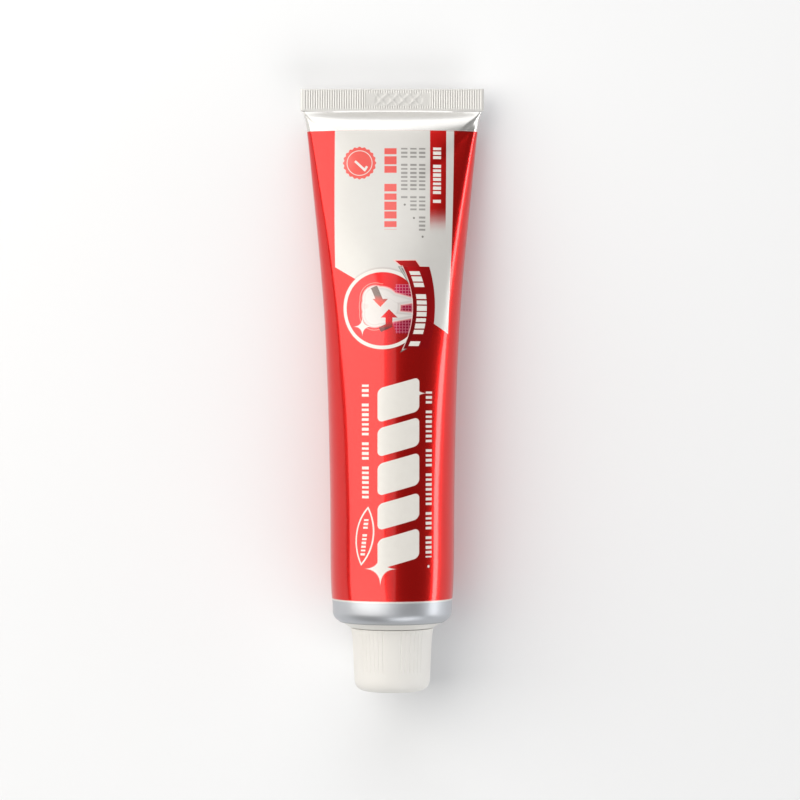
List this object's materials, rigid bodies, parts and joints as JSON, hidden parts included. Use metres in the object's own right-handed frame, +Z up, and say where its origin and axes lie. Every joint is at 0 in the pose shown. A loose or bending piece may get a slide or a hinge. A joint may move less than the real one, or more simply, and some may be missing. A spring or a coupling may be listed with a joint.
{
  "type": "toothpaste tube",
  "caption": "Full printed laminate toothpaste tube lying on its back, flat ribbed crimp at the tail, moulded shoulder and neck, and a grooved screw cap that comes off.",
  "frame": {"origin": "centre of the overall box's underside, on the surface the tube lies on", "axes": "+Z up through the label side, +Y along the tube towards the crimped tail, +X to the right of the label seen with the tail up"},
  "size_m": [0.0544, 0.1778, 0.035],
  "materials": {
    "printed_laminate": "glossy printed laminate, red with pearl white and silver fields",
    "shoulder_plastic": "satin moulded polyethylene",
    "paste": "smooth wet paste",
    "cap_plastic": "satin off-white moulded plastic"
  },
  "bodies": {
    "tube": {"tube_sleeve": "printed_laminate", "tube_shoulder": "shoulder_plastic", "toothpaste": "paste"},
    "cap": {"cap": "cap_plastic"}
  },
  "joints": [
    {"name": "cap_off", "type": "slide", "parent": "tube", "child": "cap", "axis": [0, -1, 0], "range_m": [0, 0.026]}
  ]
}
